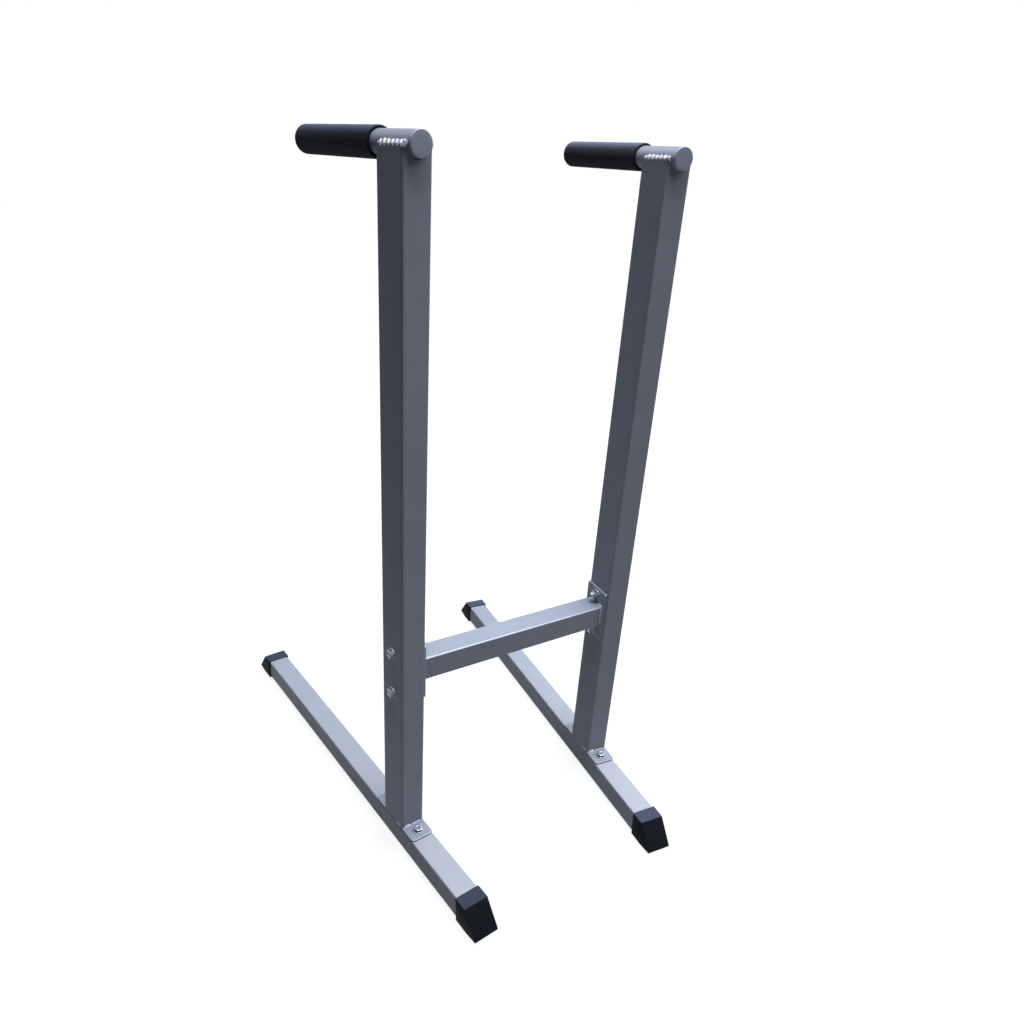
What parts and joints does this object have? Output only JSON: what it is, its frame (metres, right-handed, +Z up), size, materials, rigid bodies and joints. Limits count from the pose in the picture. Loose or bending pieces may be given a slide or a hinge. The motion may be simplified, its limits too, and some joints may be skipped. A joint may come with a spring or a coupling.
{
  "type": "dip station",
  "caption": "Free-standing dip station: two splayed steel side frames with foam handle grips, rubber feet and a bolted crossbar.",
  "frame": {"origin": "on the floor, in the middle of the footprint", "axes": "+Z up, +Y from the uprights towards the ends of the grips, +X along the crossbar"},
  "size_m": [0.5684, 0.843, 1.104],
  "materials": {
    "frame_paint": "satin silver-grey powder coat",
    "cap_rubber": "moulded black rubber",
    "grip_foam": "black closed-cell foam",
    "zinc_fastener": "bright zinc plate",
    "bare_weld": "bright rippled weld bead",
    "plug_plastic": "matt black moulding"
  },
  "bodies": {
    "root": {"base_tube_left": "frame_paint", "base_tube_right": "frame_paint", "front_foot_cap_left": "cap_rubber", "front_foot_cap_right": "cap_rubber", "rear_foot_cap_left": "cap_rubber", "rear_foot_cap_right": "cap_rubber", "foot_plate_left": "frame_paint", "foot_plate_right": "frame_paint", "foot_weld_left": "frame_paint", "foot_weld_right": "frame_paint", "upright_left": "frame_paint", "upright_right": "frame_paint", "saddle_weld_left": "bare_weld", "saddle_weld_right": "bare_weld", "handle_tube_left": "frame_paint", "handle_tube_right": "frame_paint", "handle_end_disc_left": "frame_paint", "handle_end_disc_right": "frame_paint", "foam_grip_left": "grip_foam", "foam_grip_right": "grip_foam", "handle_plug_left": "plug_plastic", "handle_plug_right": "plug_plastic", "crossbar_tube": "frame_paint", "crossbar_end_plate_left": "frame_paint", "crossbar_end_plate_right": "frame_paint", "crossbar_weld_left": "frame_paint", "crossbar_weld_right": "frame_paint", "crossbar_upper_bolt_left": "zinc_fastener", "crossbar_upper_bolt_right": "zinc_fastener", "crossbar_lower_bolt_left": "zinc_fastener", "crossbar_lower_bolt_right": "zinc_fastener", "crossbar_upper_nut_left": "zinc_fastener", "crossbar_upper_nut_right": "zinc_fastener", "crossbar_lower_nut_left": "zinc_fastener", "crossbar_lower_nut_right": "zinc_fastener", "crossbar_washers_left": "zinc_fastener", "crossbar_washers_right": "zinc_fastener", "foot_front_bolt_left": "zinc_fastener", "foot_front_bolt_right": "zinc_fastener", "foot_rear_bolt_left": "zinc_fastener", "foot_rear_bolt_right": "zinc_fastener", "foot_washers_left": "zinc_fastener", "foot_washers_right": "zinc_fastener", "foot_weld_nuts_left": "zinc_fastener", "foot_weld_nuts_right": "zinc_fastener"}
  },
  "joints": []
}
